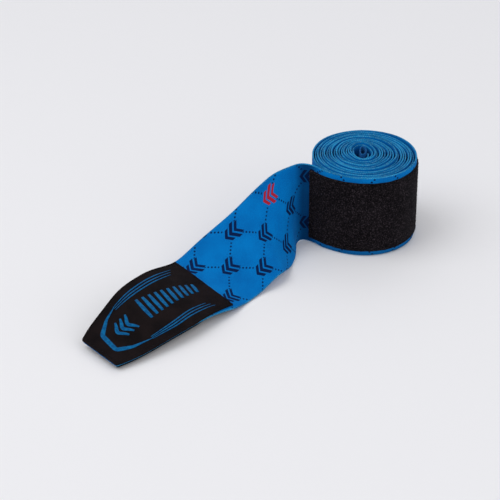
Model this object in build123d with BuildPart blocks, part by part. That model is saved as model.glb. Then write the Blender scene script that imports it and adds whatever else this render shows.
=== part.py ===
from build123d import *
import os
from math import pi, sin, cos, radians
import numpy as np

os.makedirs("parts", exist_ok=True)

# ----------------------------------------------------------------------------
# Hand wrap: an elastic woven strip rolled into an upright coil, with its last
# 0.2 m or so pulled off as a tail that ends in a hook-and-loop closure tab.
# Frame: origin on the coil's axis at its lower end, +Z up along that axis.
# All sizes in millimetres, angles in degrees anticlockwise from +X.
#
# Places on the free strip are given by dist, the distance along it from the
# cover's straight edge (positive towards the tip), offset, the distance across
# from its middle (positive upwards), and height, the distance off its middle
# surface (positive on the printed face).
# ----------------------------------------------------------------------------

# strip
STRIP_W = 50.0
STRIP_T = 1.0
# lines the cloth bends about, each with the gap left on either side of it
CREASE_DIST, CREASE_GAP = -97.7, 0.45    # where the tail leaves the coil
FLEX_DIST, FLEX_GAP = -44.0, 0.30        # about half way along the tail
FOLD_DIST, FOLD_GAP = -2.6, 0.80         # just before the cover
# coil
COIL_OUT_R = 30.45        # centreline radius of the outermost turn
CORE_R = 8.2              # radius where the inner end leaves the last turn
TURNS = 18
PITCH = (COIL_OUT_R - CORE_R) / TURNS
INNER_TAIL = 4.0          # straight end of the strip past the axis
LEAVE_DEG = -112.0        # where the outermost turn leaves the round coil
# stitches
THREAD = 0.42
STITCH_L, STITCH_GAP = 2.3, 1.1
STITCH_PITCH = STITCH_L + STITCH_GAP

# Lie of the free strip: distance along it, then its upper edge and its lower
# edge as x, y, z, on the printed face.
LIE = [
    (-127.2, (-11.6, -28.8, 50.0), (-11.6, -28.8, 0.0)),
    (-122.3, (-16.1, -26.6, 50.0), (-16.0, -26.6, 0.0)),
    (-117.3, (-20.3, -24.0, 50.0), (-20.3, -24.0, 0.0)),
    (-112.4, (-24.4, -21.1, 50.0), (-24.4, -21.1, 0.0)),
    (-107.5, (-27.85, -17.45, 50.1), (-27.85, -17.45, 0.1)),
    (-102.6, (-31.59, -14.27, 50.08), (-31.59, -14.27, 0.08)),
    (-97.7, (-36.05, -13.09, 50.29), (-36.05, -13.09, 0.29)),
    (-92.8, (-40.2, -13.98, 50.1), (-38.87, -16.89, 0.22)),
    (-87.9, (-43.99, -16.03, 49.64), (-39.41, -22.08, 0.21)),
    (-78.2, (-51.77, -17.5, 46.6), (-40.04, -32.58, 0.44)),
    (-68.4, (-58.84, -17.18, 40.54), (-42.01, -42.64, 0.98)),
    (-58.6, (-65.98, -18.28, 33.68), (-44.52, -51.67, 3.3)),
    (-48.9, (-73.43, -22.94, 27.83), (-47.38, -59.64, 6.05)),
    (-39.1, (-80.98, -29.78, 23.65), (-52.45, -66.65, 5.59)),
    (-29.3, (-88.43, -37.05, 20.37), (-58.28, -72.76, 2.57)),
    (-19.5, (-95.74, -44.18, 16.95), (-63.98, -79.38, 1.08)),
    (-9.8, (-102.56, -51.29, 13.54), (-69.2, -86.49, 1.38)),
    (0.0, (-109.05, -58.92, 11.93), (-74.14, -93.62, 3.09)),
    (8.9, (-114.67, -65.53, 13.28), (-79.28, -99.79, 4.69)),
    (17.7, (-119.88, -72.17, 15.6), (-84.42, -106.02, 5.77)),
    (26.6, (-125.16, -79.02, 17.3), (-89.6, -112.37, 6.28)),
    (35.4, (-130.49, -85.92, 17.75), (-94.62, -118.83, 6.27)),
    (44.3, (-135.8, -92.9, 17.6), (-99.7, -125.2, 5.7)),
    (53.1, (-141.2, -99.9, 17.2), (-105.2, -132.2, 4.7)),
    (62.0, (-146.5, -106.7, 16.2), (-110.8, -139.1, 3.3)),
    (70.9, (-152.0, -112.9, 14.0), (-116.6, -146.0, 2.1)),
    (79.7, (-157.4, -117.9, 10.2), (-122.7, -152.8, 1.7)),
    (88.6, (-161.7, -121.3, 4.6), (-129.1, -159.3, 2.4)),
]


# ------------------------------------------------------------- helpers -----
def unit(vector):
    return vector / np.linalg.norm(vector)


def direction(degrees):
    """Unit vector in the XY plane at an angle."""
    return np.array([cos(radians(degrees)), sin(radians(degrees))])


def spaced(start, end, step):
    """Even places from start to end, about step apart."""
    count = max(2, int(round(abs(end - start) / step)) + 1)
    return list(np.linspace(start, end, count))


def natural_spline(knots, values):
    """The natural cubic spline through rows of values at knots, as a function."""
    count = len(knots)
    gaps = np.diff(knots)
    matrix = np.zeros((count, count))
    right = np.zeros((count, values.shape[1]))
    matrix[0, 0] = matrix[-1, -1] = 1.0
    for i in range(1, count - 1):
        matrix[i, i - 1:i + 2] = gaps[i - 1], 2 * (gaps[i - 1] + gaps[i]), gaps[i]
        right[i] = 6 * ((values[i + 1] - values[i]) / gaps[i]
                        - (values[i] - values[i - 1]) / gaps[i - 1])
    second = np.linalg.solve(matrix, right)     # second derivatives at the knots

    def value_at(place):
        i = int(np.clip(np.searchsorted(knots, place) - 1, 0, count - 2))
        gap = gaps[i]
        before, after = (knots[i + 1] - place) / gap, (place - knots[i]) / gap
        return (before * values[i] + after * values[i + 1]
                + ((before**3 - before) * second[i]
                   + (after**3 - after) * second[i + 1]) * gap * gap / 6)

    return value_at


lie_at = natural_spline(np.array([row[0] for row in LIE]),
                        np.array([row[1] + row[2] for row in LIE]))
SLOPE_STEP = 0.05         # half the span used to find the running direction


def edges_at(dist):
    """Upper and lower edge of the strip's printed face."""
    both = lie_at(dist)
    return both[:3], both[3:]


def frame_at(dist):
    """Middle of the strip, its across direction, its outward normal and its
    running direction."""
    top, bottom = edges_at(dist)
    next_top, next_bottom = edges_at(dist + SLOPE_STEP)
    last_top, last_bottom = edges_at(dist - SLOPE_STEP)
    across = unit(top - bottom)
    normal = unit(np.cross(across, next_top + next_bottom - last_top - last_bottom))
    middle = (top + bottom) / 2 - normal * STRIP_T / 2
    return middle, across, normal, np.cross(normal, across)


def on_strip(dist, offset, height):
    middle, across, normal, _ = frame_at(dist)
    return middle + across * offset + normal * height


def loft_along(start, end, step, low, high, inner, outer):
    """Layer of cloth lofted along the strip. low and high give its half widths
    to the lower and upper edge; inner and outer are the heights of its faces."""
    with BuildPart() as piece:
        for dist in spaced(start, end, step):
            bottom, top = -low(dist), high(dist)
            _, across, _, run = frame_at(dist)
            centre = on_strip(dist, (bottom + top) / 2, (inner + outer) / 2)
            with BuildSketch(Plane(origin=tuple(centre), x_dir=tuple(across), z_dir=tuple(run))):
                Rectangle(top - bottom, outer - inner)
        loft()
    return piece.part


def stitch_group(planes, length=STITCH_L):
    """One short bar of thread on every plane, partly sunk in the cloth."""
    with BuildPart() as group:
        for plane in planes:
            with BuildSketch(plane.offset(-THREAD / 2)):
                SlotOverall(length, THREAD)
            extrude(amount=THREAD * 0.9)
    return group.part


# ---------------------------------------------------------------- coil -----
# The spiral is a run of half circles, each smaller by half the pitch, about
# two centres on the line through the point where the outermost turn leaves.
LEAVE = direction(LEAVE_DEG)
CLOCKWISE = np.array([LEAVE[1], -LEAVE[0]])    # clockwise tangent at that point
CENTRES = [np.array([0.0, 0.0]), -LEAVE * PITCH / 2]

PATCH_START_DIST = -102.0
# where the standing strip is sampled between the patch's start and the round coil
STANDING_DISTS = spaced(PATCH_START_DIST, -124.0, 2.0)


def standing_edge(dists, height):
    """Plan points of the standing strip from the first distance to where it
    joins the round coil, and the tangents at both ends."""
    points = []
    for dist in dists:
        middle, _, normal, _ = frame_at(dist)
        points.append(tuple((middle + normal * height)[:2]))
    points.append(tuple(LEAVE * (COIL_OUT_R + height)))
    first, second = points[:2]
    return points, [(second[0] - first[0], second[1] - first[1]), tuple(-CLOCKWISE)]


with BuildPart() as strip_coil:
    with BuildSketch(Plane.XY):
        with BuildLine():
            ends = []
            for height in (STRIP_T / 2, -STRIP_T / 2):
                points, tangents = standing_edge(
                    [CREASE_DIST - CREASE_GAP, -100.0] + STANDING_DISTS, height)
                Spline(*points, tangents=tangents)
                for i in range(2 * TURNS):
                    CenterArc(tuple(CENTRES[i % 2]), COIL_OUT_R - i * PITCH / 2 + height,
                              LEAVE_DEG + 180.0 * (i % 2), 180.0)
                # the inner end folds back across the core, through the axis
                CenterArc(tuple(LEAVE * CORE_R / 2), CORE_R / 2 + height, LEAVE_DEG, 180.0)
                fold = -LEAVE * height
                inner_end = fold + CLOCKWISE * INNER_TAIL
                Line(tuple(fold), tuple(inner_end))
                ends.append((points[0], tuple(inner_end)))
            Line(ends[0][0], ends[1][0])
            Line(ends[0][1], ends[1][1])
        make_face()
    extrude(amount=STRIP_W)

# ---------------------------------------------------------- loop patch -----
# The patch follows the outermost turn, from just before the crease round to
# PATCH_END_DEG on the far side.
PATCH_T = 0.85
PATCH_GAP = 0.08
PATCH_LOW, PATCH_HIGH = 2.8, 46.6
PATCH_END_DEG = 62.0
PATCH_INNER = STRIP_T / 2 + PATCH_GAP
PATCH_OUTER = PATCH_INNER + PATCH_T

with BuildPart() as loop_patch:
    with BuildSketch(Plane.XY.offset(PATCH_LOW)):
        with BuildLine():
            ends = []
            for height in (PATCH_OUTER, PATCH_INNER):
                points, tangents = standing_edge(STANDING_DISTS, height)
                radius = COIL_OUT_R + height
                Spline(*points, tangents=tangents)
                CenterArc((0, 0), radius, LEAVE_DEG, PATCH_END_DEG - LEAVE_DEG)
                ends.append((points[0], tuple(radius * direction(PATCH_END_DEG))))
            Line(ends[0][0], ends[1][0])
            Line(ends[0][1], ends[1][1])
        make_face()
    extrude(amount=PATCH_HIGH - PATCH_LOW)

# Plan points and normals of the patch's outer face, and the distance along it
# from the patch's start, for spacing its stitches
patch_path, patch_normal = [], []
for dist in spaced(PATCH_START_DIST, -122.3, 2.0):
    middle, _, normal, _ = frame_at(dist)
    patch_path.append(middle[:2])
    patch_normal.append(normal[:2])
for degrees in np.arange(LEAVE_DEG, PATCH_END_DEG + 0.1, 3.0):
    patch_path.append(direction(degrees) * COIL_OUT_R)
    patch_normal.append(direction(degrees))
patch_normal = np.array(patch_normal)
patch_face = np.array(patch_path) + patch_normal * PATCH_OUTER
patch_travel = np.r_[0, np.cumsum(np.linalg.norm(np.diff(patch_face, axis=0), axis=1))]
PATCH_LEN = patch_travel[-1]

PATCH_ROW_IN = 1.5        # long rows, in from the patch's lower and upper edges
PATCH_ROW_MARGIN = 2.2    # ends of the long rows, in from the patch's ends
PATCH_END_IN = 1.6        # upright rows, in from the patch's ends
PATCH_END_MARGIN = 4.0    # ends of the upright rows, in from the long edges


def patch_plane(travel, z, upright):
    """Stitch plane on the patch's outer face, for an upright or a level stitch."""
    point, normal = (np.array([np.interp(travel, patch_travel, table[:, axis])
                               for axis in (0, 1)])
                     for table in (patch_face, patch_normal))
    normal = unit(normal)
    x_dir = (0, 0, 1) if upright else (-normal[1], normal[0], 0.0)
    return Plane(origin=(*point, z), x_dir=x_dir, z_dir=(*normal, 0.0))


def stitch_places(start, end):
    """Even places from start to end, at least a stitch pitch apart."""
    return np.linspace(start, end, int((end - start) / STITCH_PITCH) + 1)


def patch_long_row(z):
    places = stitch_places(PATCH_ROW_MARGIN, PATCH_LEN - PATCH_ROW_MARGIN)
    return stitch_group([patch_plane(travel, z, upright=False) for travel in places])


def patch_end_row(travel):
    places = stitch_places(PATCH_LOW + PATCH_END_MARGIN, PATCH_HIGH - PATCH_END_MARGIN)
    return stitch_group([patch_plane(travel, z, upright=True) for z in places])


# ---------------------------------------------------------------- tail -----
def half_strip(dist):
    return STRIP_W / 2


def tail_piece(start, end, step):
    return loft_along(start, end, step, half_strip, half_strip, -STRIP_T / 2, STRIP_T / 2)


strip_tail = tail_piece(CREASE_DIST + CREASE_GAP, FLEX_DIST - FLEX_GAP, 6.0)
strip_tail_end = tail_piece(FLEX_DIST + FLEX_GAP, FOLD_DIST - FOLD_GAP, 7.0)

# --------------------------------------------------------- closure tab -----
TAB_L = 89.6
TIP_HALF = 15.3           # half width at the tip
TAB_STEP = 7.5            # spacing of the loft sections
COVER_T = 0.9
HOOK_T = 1.3
LAYER_GAP = 0.04
COVER_LOW_INSET = 2.2     # the strip shows this much below the cover at its start
COVER_INSET_FADE = 34.0   # distance over which that inset runs out
CORE_INSET = 0.3          # the strip stops this far inside the tab's outline
HOOK_INSET = 0.3          # the hook patch stops this far inside the cover's edge
# Outline of the tab: distance along, half width to the upper edge and to the
# lower edge; the tab narrows sooner on its lower side.
TAB_OUTLINE = np.array([
    (0.0, 24.3, 25.0), (12.0, 23.7, 24.7), (24.0, 23.4, 24.1), (36.0, 23.3, 23.4),
    (48.0, 22.8, 22.1), (60.0, 20.6, 20.2), (72.0, 18.1, 18.2), (TAB_L, TIP_HALF, TIP_HALF),
])
outline_at = natural_spline(TAB_OUTLINE[:, 0], TAB_OUTLINE[:, 1:])


def cover_high(dist):
    return float(outline_at(max(dist, 0.0))[0])


def outline_low(dist):
    return float(outline_at(max(dist, 0.0))[1])


def cover_low(dist):
    return outline_low(dist) - COVER_LOW_INSET * max(0.0, 1.0 - max(dist, 0.0) / COVER_INSET_FADE)


def core_high(dist):
    """Blends smoothly from the full strip to the tab's outline."""
    blend = min(max((dist + 2.0) / 8.0, 0.0), 1.0)
    blend = blend * blend * (3 - 2 * blend)
    return STRIP_W / 2 + (cover_high(dist) - CORE_INSET - STRIP_W / 2) * blend


def core_low(dist):
    return outline_low(dist) - CORE_INSET * min(max(dist / 30.0, 0.0), 1.0)


COVER_INNER = STRIP_T / 2 + LAYER_GAP
COVER_OUTER = COVER_INNER + COVER_T
HOOK_OUTER = -STRIP_T / 2 - LAYER_GAP
strip_tab = loft_along(FOLD_DIST + FOLD_GAP, TAB_L, TAB_STEP, core_low, core_high,
                       -STRIP_T / 2, STRIP_T / 2)
tab_cover = loft_along(0.0, TAB_L - 0.3, TAB_STEP, cover_low, cover_high,
                       COVER_INNER, COVER_OUTER)
hook_patch = loft_along(1.0, TAB_L - 0.8, TAB_STEP,
                        lambda dist: cover_low(dist) - HOOK_INSET,
                        lambda dist: cover_high(dist) - HOOK_INSET,
                        HOOK_OUTER - HOOK_T, HOOK_OUTER)

# stitches on the cover
SIDE_ROW_IN = 1.7         # side rows, in from the cover's edges
TIP_ROW_DIST = TAB_L - 2.2
TIP_ROW_MARGIN = 3.2
SEAM_DIST = 1.5           # row along the cover's straight edge
SEAM_MARGIN = 2.6


def cover_plane(dist, offset, dist_step, offset_step):
    """Plane on the cover's face with x towards the point one step away."""
    point = on_strip(dist, offset, COVER_OUTER)
    x_dir = unit(on_strip(dist + dist_step, offset + offset_step, COVER_OUTER) - point)
    normal = frame_at(dist)[2]
    normal = normal - x_dir * float(normal @ x_dir)
    return Plane(origin=tuple(point), x_dir=tuple(x_dir), z_dir=tuple(unit(normal)))


def cross_row(dist, low, high):
    """Row of stitches across the cover."""
    return stitch_group([cover_plane(dist, offset, 0.0, 1.0)
                         for offset in spaced(low, high, STITCH_PITCH)])


side_planes = []
for side, half in ((1, cover_high), (-1, cover_low)):
    for dist in spaced(3.4, TAB_L - 4.5, STITCH_PITCH):
        slope = (half(dist + 0.5) - half(dist - 0.5)) * side
        side_planes.append(cover_plane(dist, side * (half(dist) - SIDE_ROW_IN), 1.0, slope))

# ----------------------------------------------------------- transfers -----
# Plain geometric marks pressed on the cover.
TRANSFER_T = 0.16
TRANSFER_LIFT = 0.05      # clearance off the cover's face


def stroke(points, widths):
    """Flat ribbon of transfer film through (dist, offset) points on the cover."""
    last = len(points) - 1
    width_at = np.interp(np.linspace(0, 1, len(points)), np.linspace(0, 1, len(widths)), widths)
    with BuildPart() as piece:
        for i, (dist, offset) in enumerate(points):
            before = on_strip(*points[max(i - 1, 0)], COVER_OUTER)
            after = on_strip(*points[min(i + 1, last)], COVER_OUTER)
            run = unit(after - before)
            side = unit(np.cross(frame_at(dist)[2], run))
            centre = (on_strip(dist, offset, COVER_OUTER)
                      + np.cross(run, side) * (TRANSFER_LIFT + TRANSFER_T / 2))
            with BuildSketch(Plane(origin=tuple(centre), x_dir=tuple(side), z_dir=tuple(run))):
                Rectangle(float(width_at[i]), TRANSFER_T)
        loft(ruled=True)
    return piece.part


def along(points, count=8):
    """Even points along the line through a few (dist, offset) points."""
    corners = np.array(points, float)
    travel = np.r_[0, np.cumsum(np.hypot(*np.diff(corners, axis=0).T))]
    places = np.linspace(0, travel[-1], count)
    return list(zip(np.interp(places, travel, corners[:, 0]),
                    np.interp(places, travel, corners[:, 1])))


# Keel-shaped outline round the tip end: (dist, offset) points, then widths
KEEL = [
    ([(63.0, 14.8), (68.0, 13.0), (73.5, 10.6)], [0.5, 1.2, 1.8]),
    ([(74.0, 10.3), (76.5, 8.5), (79.0, 6.6)], [1.9, 2.3, 2.6]),
    ([(79.7, 6.0), (80.2, 0.0), (79.7, -6.0)], [2.8, 3.0, 2.8]),
    ([(79.0, -6.6), (76.0, -8.3), (72.6, -9.9)], [2.6, 2.2, 1.8]),
    ([(72.0, -10.2), (65.0, -12.0), (60.0, -13.0)], [1.6, 1.0, 0.4]),
]
keel = [stroke(points, widths) for points, widths in KEEL]

# Side pinstripes: dist and offset of the outermost stripe, then how far each
# of them shifts from one stripe to the next
STRIPES_PER_SIDE = 3
STRIPE_WIDTHS = [0.3, 0.7, 0.6, 0.25]
UPPER_STRIPE = [(61.0, 15.2, 0.0, -1.0), (45.0, 18.0, 0.0, -1.7),
                (28.0, 18.2, 0.0, -1.9), (10.0, 18.6, 2.0, -2.0)]
LOWER_STRIPE = [(58.5, -14.6, 0.0, 0.8), (46.0, -17.0, 0.0, 1.5),
                (29.0, -17.6, 0.0, 1.8), (12.0, -18.8, 2.0, 2.0)]
stripes = []
for k in range(STRIPES_PER_SIDE):
    for table in (UPPER_STRIPE, LOWER_STRIPE):
        points = [(dist + dist_shift * k, offset + offset_shift * k)
                  for dist, offset, dist_shift, offset_shift in table]
        stripes.append(stroke(along(points), STRIPE_WIDTHS))

# Emblem: three chevrons in a row, pointing at the tip, each of two arms
EMBLEM_OFFSET = 2.0
CHEVRON_HALF = 4.7
CHEVRON_DEPTH = 3.4
CHEVRON_PITCH = 3.4
ARM_GAP = 0.3             # from the emblem's middle to the end of each arm
ARM_WIDTHS = [1.0, 1.7, 1.9]    # from the arm's outer end to the point
chevrons = []
for k in range(3):
    point_dist = 71.2 - CHEVRON_PITCH * k
    for side in (1, -1):
        arm = [(point_dist - CHEVRON_DEPTH, EMBLEM_OFFSET + side * CHEVRON_HALF),
               (point_dist - CHEVRON_DEPTH / 2, EMBLEM_OFFSET + side * CHEVRON_HALF / 2),
               (point_dist, EMBLEM_OFFSET + side * ARM_GAP)]
        # both arms run from the upper end to the lower end
        chevrons.append(stroke(arm[::side], ARM_WIDTHS[::side]))

# Band of slanted bars that lengthen and rise towards the tip
BAR_LEAN = 1.3            # each end of a bar lies this far along from its middle
bars = []
for dist in np.linspace(10.5, 49.5, 10):
    middle_offset = -1.6 + (dist - 8.0) * 0.12
    half = 3.6 + 0.10 * (dist - 10.0)
    bars.append(stroke([(dist - BAR_LEAN, middle_offset + half), (dist, middle_offset),
                        (dist + BAR_LEAN, middle_offset - half)], [1.8, 2.4, 1.8]))

# ---------------------------------------------------------- thumb loop -----
# A loop of narrow tape, tucked in the core beside the folded inner end.
LOOP_T = 0.8
LOOP_END_FACTOR = 1.1     # the tape is thicker by this much at the long ends
LOOP_W = 12.0
LOOP_TOP = 47.0
LOOP_LOW = LOOP_TOP - LOOP_W
LOOP_HALF_LONG, LOOP_HALF_WIDE = 4.6, 2.3
LOOP_FROM_AXIS = 4.1
TACK_PITCH = 2.0
loop_centre = -LEAVE * LOOP_FROM_AXIS


def loop_outline(inset):
    return [tuple(loop_centre
                  + CLOCKWISE * (LOOP_HALF_LONG - inset * LOOP_END_FACTOR) * cos(angle)
                  + LEAVE * (LOOP_HALF_WIDE - inset) * sin(angle))
            for angle in np.linspace(0, 2 * pi, 25)[:-1]]


with BuildPart() as thumb_loop:
    with BuildSketch(Plane.XY.offset(LOOP_LOW)):
        with BuildLine():
            Spline(*loop_outline(0.0), periodic=True)
        make_face()
        with BuildLine():
            Spline(*loop_outline(LOOP_T), periodic=True)
        make_face(mode=Mode.SUBTRACT)
    extrude(amount=LOOP_W)

# upright row of short stitches on the loop's side away from the axis
tack_at = loop_centre - LEAVE * LOOP_HALF_WIDE
tack_planes = [Plane(origin=(*tack_at, LOOP_LOW + TACK_PITCH * (k + 1)),
                     x_dir=(*CLOCKWISE, 0.0), z_dir=(*(-LEAVE), 0.0))
               for k in range(5)]

# -------------------------------------------------------------- export -----
parts = {
    "strip_coil": strip_coil.part,
    "loop_patch": loop_patch.part,
    "loop_patch_stitch_bottom": patch_long_row(PATCH_LOW + PATCH_ROW_IN),
    "loop_patch_stitch_top": patch_long_row(PATCH_HIGH - PATCH_ROW_IN),
    "loop_patch_stitch_start": patch_end_row(PATCH_END_IN),
    "loop_patch_stitch_end": patch_end_row(PATCH_LEN - PATCH_END_IN),
    "strip_tail": strip_tail,
    "strip_tail_end": strip_tail_end,
    "strip_tab": strip_tab,
    "tab_cover": tab_cover,
    "hook_patch": hook_patch,
    "tab_stitch_sides": stitch_group(side_planes),
    "tab_stitch_tip": cross_row(TIP_ROW_DIST, -TIP_HALF + TIP_ROW_MARGIN,
                                TIP_HALF - TIP_ROW_MARGIN),
    "tab_stitch_seam": cross_row(SEAM_DIST, -cover_low(SEAM_DIST) + SEAM_MARGIN,
                                 cover_high(SEAM_DIST) - SEAM_MARGIN),
    "transfer_keel": Compound(keel),
    "transfer_stripes": Compound(stripes),
    "transfer_chevrons": Compound(chevrons),
    "transfer_bars": Compound(bars),
    "thumb_loop": thumb_loop.part,
    "thumb_loop_tack": stitch_group(tack_planes, length=1.8),
}
for name, shape in parts.items():
    shape.label = name
    export_step(shape, f"parts/{name}.step")
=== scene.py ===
"""A blue woven strip, hand-rolled into a coil that stands on the floor.

The coil's axis is upright near the origin. The strip's outer end leaves the
coil at the front (-Y) and runs out to the left (-X) and forwards, lying down
as it goes, and ends in a black closure tab with hooks underneath. Shapes are
worked out in millimetres and turned into metres in make_mesh.

A place on the strip is given by
  along   distance along it: 0 where the tab starts, negative towards the coil
  across  distance from the middle, positive towards the coil's top edge
  up      height above mid thickness, positive towards the outer, printed face
"""
import bpy
import numpy as np
from math import pi, sin, cos, radians, sqrt
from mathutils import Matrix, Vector


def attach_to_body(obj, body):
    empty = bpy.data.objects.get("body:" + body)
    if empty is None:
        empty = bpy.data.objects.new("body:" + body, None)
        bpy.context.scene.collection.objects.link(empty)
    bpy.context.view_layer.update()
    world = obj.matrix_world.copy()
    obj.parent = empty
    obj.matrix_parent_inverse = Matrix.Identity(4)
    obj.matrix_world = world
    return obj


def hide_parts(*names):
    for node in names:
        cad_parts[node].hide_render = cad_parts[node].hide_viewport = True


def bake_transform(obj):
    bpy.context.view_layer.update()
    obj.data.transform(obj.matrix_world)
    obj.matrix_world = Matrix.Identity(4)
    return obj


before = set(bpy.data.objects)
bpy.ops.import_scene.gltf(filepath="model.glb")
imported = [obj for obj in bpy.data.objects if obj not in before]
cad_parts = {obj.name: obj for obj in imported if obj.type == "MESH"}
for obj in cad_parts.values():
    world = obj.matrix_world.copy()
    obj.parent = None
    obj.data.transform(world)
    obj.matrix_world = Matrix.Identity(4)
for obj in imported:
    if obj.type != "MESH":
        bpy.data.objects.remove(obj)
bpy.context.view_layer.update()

rng = np.random.default_rng(11)
MM = 0.001

# ------------------------------------------------------------ dimensions ---
STRIP_W, STRIP_T = 50.0, 1.0
CLOTH_HALF_T = 0.96 / 2           # the cloth as drawn is a little thinner
COIL_OUT_R = 30.45
TURNS = 18
LEAVE_DEG = -112.0                # bearing at which the strip leaves the coil
LEAVE = radians(LEAVE_DEG)
PATCH_LOW, PATCH_HIGH = 2.8, 46.6     # loop patch, heights above the floor
PATCH_START, PATCH_END_DEG = -102.0, 62.0
PATCH_UNDER, PATCH_OVER = 0.53, 1.30  # loop patch, up from the strip
TAB_L, TIP_HALF = 89.6, 15.3
COVER_END = TAB_L - 0.3
COVER_UNDER, COVER_OVER = 0.54, 1.44
HOOK_FACE = -0.54                 # where the hook patch meets the strip
CUT_A, CUT_B, CUT_C = -112.0, -71.0, -23.0    # where the cloth's pieces meet
CREASE_S, FLEX_S, FOLD_S = -97.7, -44.0, -2.6     # where the strip bends
STITCH_L = 2.3
STITCH_PITCH = STITCH_L + 1.1

# How the free strip lies: along, then the outer face's top and bottom edges.
LIE = [
    (-127.2, (-11.6, -28.8, 50.0), (-11.6, -28.8, 0.0)),
    (-122.3, (-16.1, -26.6, 50.0), (-16.0, -26.6, 0.0)),
    (-117.3, (-20.3, -24.0, 50.0), (-20.3, -24.0, 0.0)),
    (-112.4, (-24.4, -21.1, 50.0), (-24.4, -21.1, 0.0)),
    (-107.5, (-27.85, -17.45, 50.1), (-27.85, -17.45, 0.1)),
    (-102.6, (-31.59, -14.27, 50.08), (-31.59, -14.27, 0.08)),
    (-97.7, (-36.05, -13.09, 50.29), (-36.05, -13.09, 0.29)),
    (-92.8, (-40.2, -13.98, 50.1), (-38.87, -16.89, 0.22)),
    (-87.9, (-43.99, -16.03, 49.64), (-39.41, -22.08, 0.21)),
    (-78.2, (-51.77, -17.5, 46.6), (-40.04, -32.58, 0.44)),
    (-68.4, (-58.84, -17.18, 40.54), (-42.01, -42.64, 0.98)),
    (-58.6, (-65.98, -18.28, 33.68), (-44.52, -51.67, 3.3)),
    (-48.9, (-73.43, -22.94, 27.83), (-47.38, -59.64, 6.05)),
    (-39.1, (-80.98, -29.78, 23.65), (-52.45, -66.65, 5.59)),
    (-29.3, (-88.43, -37.05, 20.37), (-58.28, -72.76, 2.57)),
    (-19.5, (-95.74, -44.18, 16.95), (-63.98, -79.38, 1.08)),
    (-9.8, (-102.56, -51.29, 13.54), (-69.2, -86.49, 1.38)),
    (0.0, (-109.05, -58.92, 11.93), (-74.14, -93.62, 3.09)),
    (8.9, (-114.67, -65.53, 13.28), (-79.28, -99.79, 4.69)),
    (17.7, (-119.88, -72.17, 15.6), (-84.42, -106.02, 5.77)),
    (26.6, (-125.16, -79.02, 17.3), (-89.6, -112.37, 6.28)),
    (35.4, (-130.49, -85.92, 17.75), (-94.62, -118.83, 6.27)),
    (44.3, (-135.8, -92.9, 17.6), (-99.7, -125.2, 5.7)),
    (53.1, (-141.2, -99.9, 17.2), (-105.2, -132.2, 4.7)),
    (62.0, (-146.5, -106.7, 16.2), (-110.8, -139.1, 3.3)),
    (70.9, (-152.0, -112.9, 14.0), (-116.6, -146.0, 2.1)),
    (79.7, (-157.4, -117.9, 10.2), (-122.7, -152.8, 1.7)),
    (88.6, (-161.7, -121.3, 4.6), (-129.1, -159.3, 2.4)),
]
LIE_START = LIE[0][0]

# Tab outline: along, half widths on the positive and negative across sides.
TAB_OUTLINE = [
    (0.0, 24.3, 25.0), (12.0, 23.7, 24.7), (24.0, 23.4, 24.1), (36.0, 23.3, 23.4),
    (48.0, 22.8, 22.1), (60.0, 20.6, 20.2), (72.0, 18.1, 18.2), (TAB_L, TIP_HALF, TIP_HALF),
]


# ------------------------------------------------------------ maths --------
def unit(vectors):
    return vectors / np.linalg.norm(vectors, axis=-1, keepdims=True)


def ease(x):
    """Smooth step from 0 to 1."""
    x = np.clip(x, 0, 1)
    return x * x * (3 - 2 * x)


def ripple(x, *waves):
    """Sum of sine waves, each given as (size, rate, phase)."""
    return sum(size * np.sin(rate * x + phase) for size, rate, phase in waves)


def groove(distance, depth, width):
    return depth * np.exp(-(distance / width)**2)


def run_lengths(points):
    return np.r_[0, np.cumsum(np.linalg.norm(np.diff(points, axis=0), axis=1))]


def stations(start, end, step):
    return np.linspace(start, end, max(2, int(round(abs(end - start) / step)) + 1))


def graded_stations(*spans):
    """Stations through spans (start, end, step) that follow each other."""
    parts = [stations(*span) for span in spans]
    return np.concatenate(parts[:1] + [part[1:] for part in parts[1:]])


class Spline:
    """Natural cubic spline through rows of values."""

    def __init__(self, knots, values):
        count = len(knots)
        gap = np.diff(knots)
        matrix = np.zeros((count, count))
        right = np.zeros((count, values.shape[1]))
        matrix[0, 0] = matrix[-1, -1] = 1.0
        for i in range(1, count - 1):
            matrix[i, i - 1:i + 2] = gap[i - 1], 2 * (gap[i - 1] + gap[i]), gap[i]
            right[i] = 6 * ((values[i + 1] - values[i]) / gap[i]
                            - (values[i] - values[i - 1]) / gap[i - 1])
        self.knots, self.values = knots, values
        self.curvature = np.linalg.solve(matrix, right)

    def at(self, x):
        x = np.atleast_1d(np.asarray(x, float))
        i = np.clip(np.searchsorted(self.knots, x) - 1, 0, len(self.knots) - 2)
        gap = self.knots[i + 1] - self.knots[i]
        before = ((self.knots[i + 1] - x) / gap)[:, None]
        after = ((x - self.knots[i]) / gap)[:, None]
        bend = ((before**3 - before) * self.curvature[i]
                + (after**3 - after) * self.curvature[i + 1])
        return (before * self.values[i] + after * self.values[i + 1]
                + bend * (gap * gap / 6)[:, None])


LIE_SPLINE = Spline(np.array([row[0] for row in LIE]), np.array([row[1] + row[2] for row in LIE]))


def edges_at(along):
    edges = LIE_SPLINE.at(along)
    return edges[:, :3], edges[:, 3:]


def frames(along):
    """Mid-thickness point, then the across, up and along directions."""
    along = np.atleast_1d(along)
    top, bottom = edges_at(along)
    next_top, next_bottom = edges_at(along + 0.05)
    last_top, last_bottom = edges_at(along - 0.05)
    across_dir = unit(top - bottom)
    normal = unit(np.cross(across_dir, next_top + next_bottom - last_top - last_bottom))
    middle = (top + bottom) / 2 - normal * STRIP_T / 2
    return middle, across_dir, normal, np.cross(normal, across_dir)


def frame_at(along):
    return [part[0] for part in frames(along)]


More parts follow.
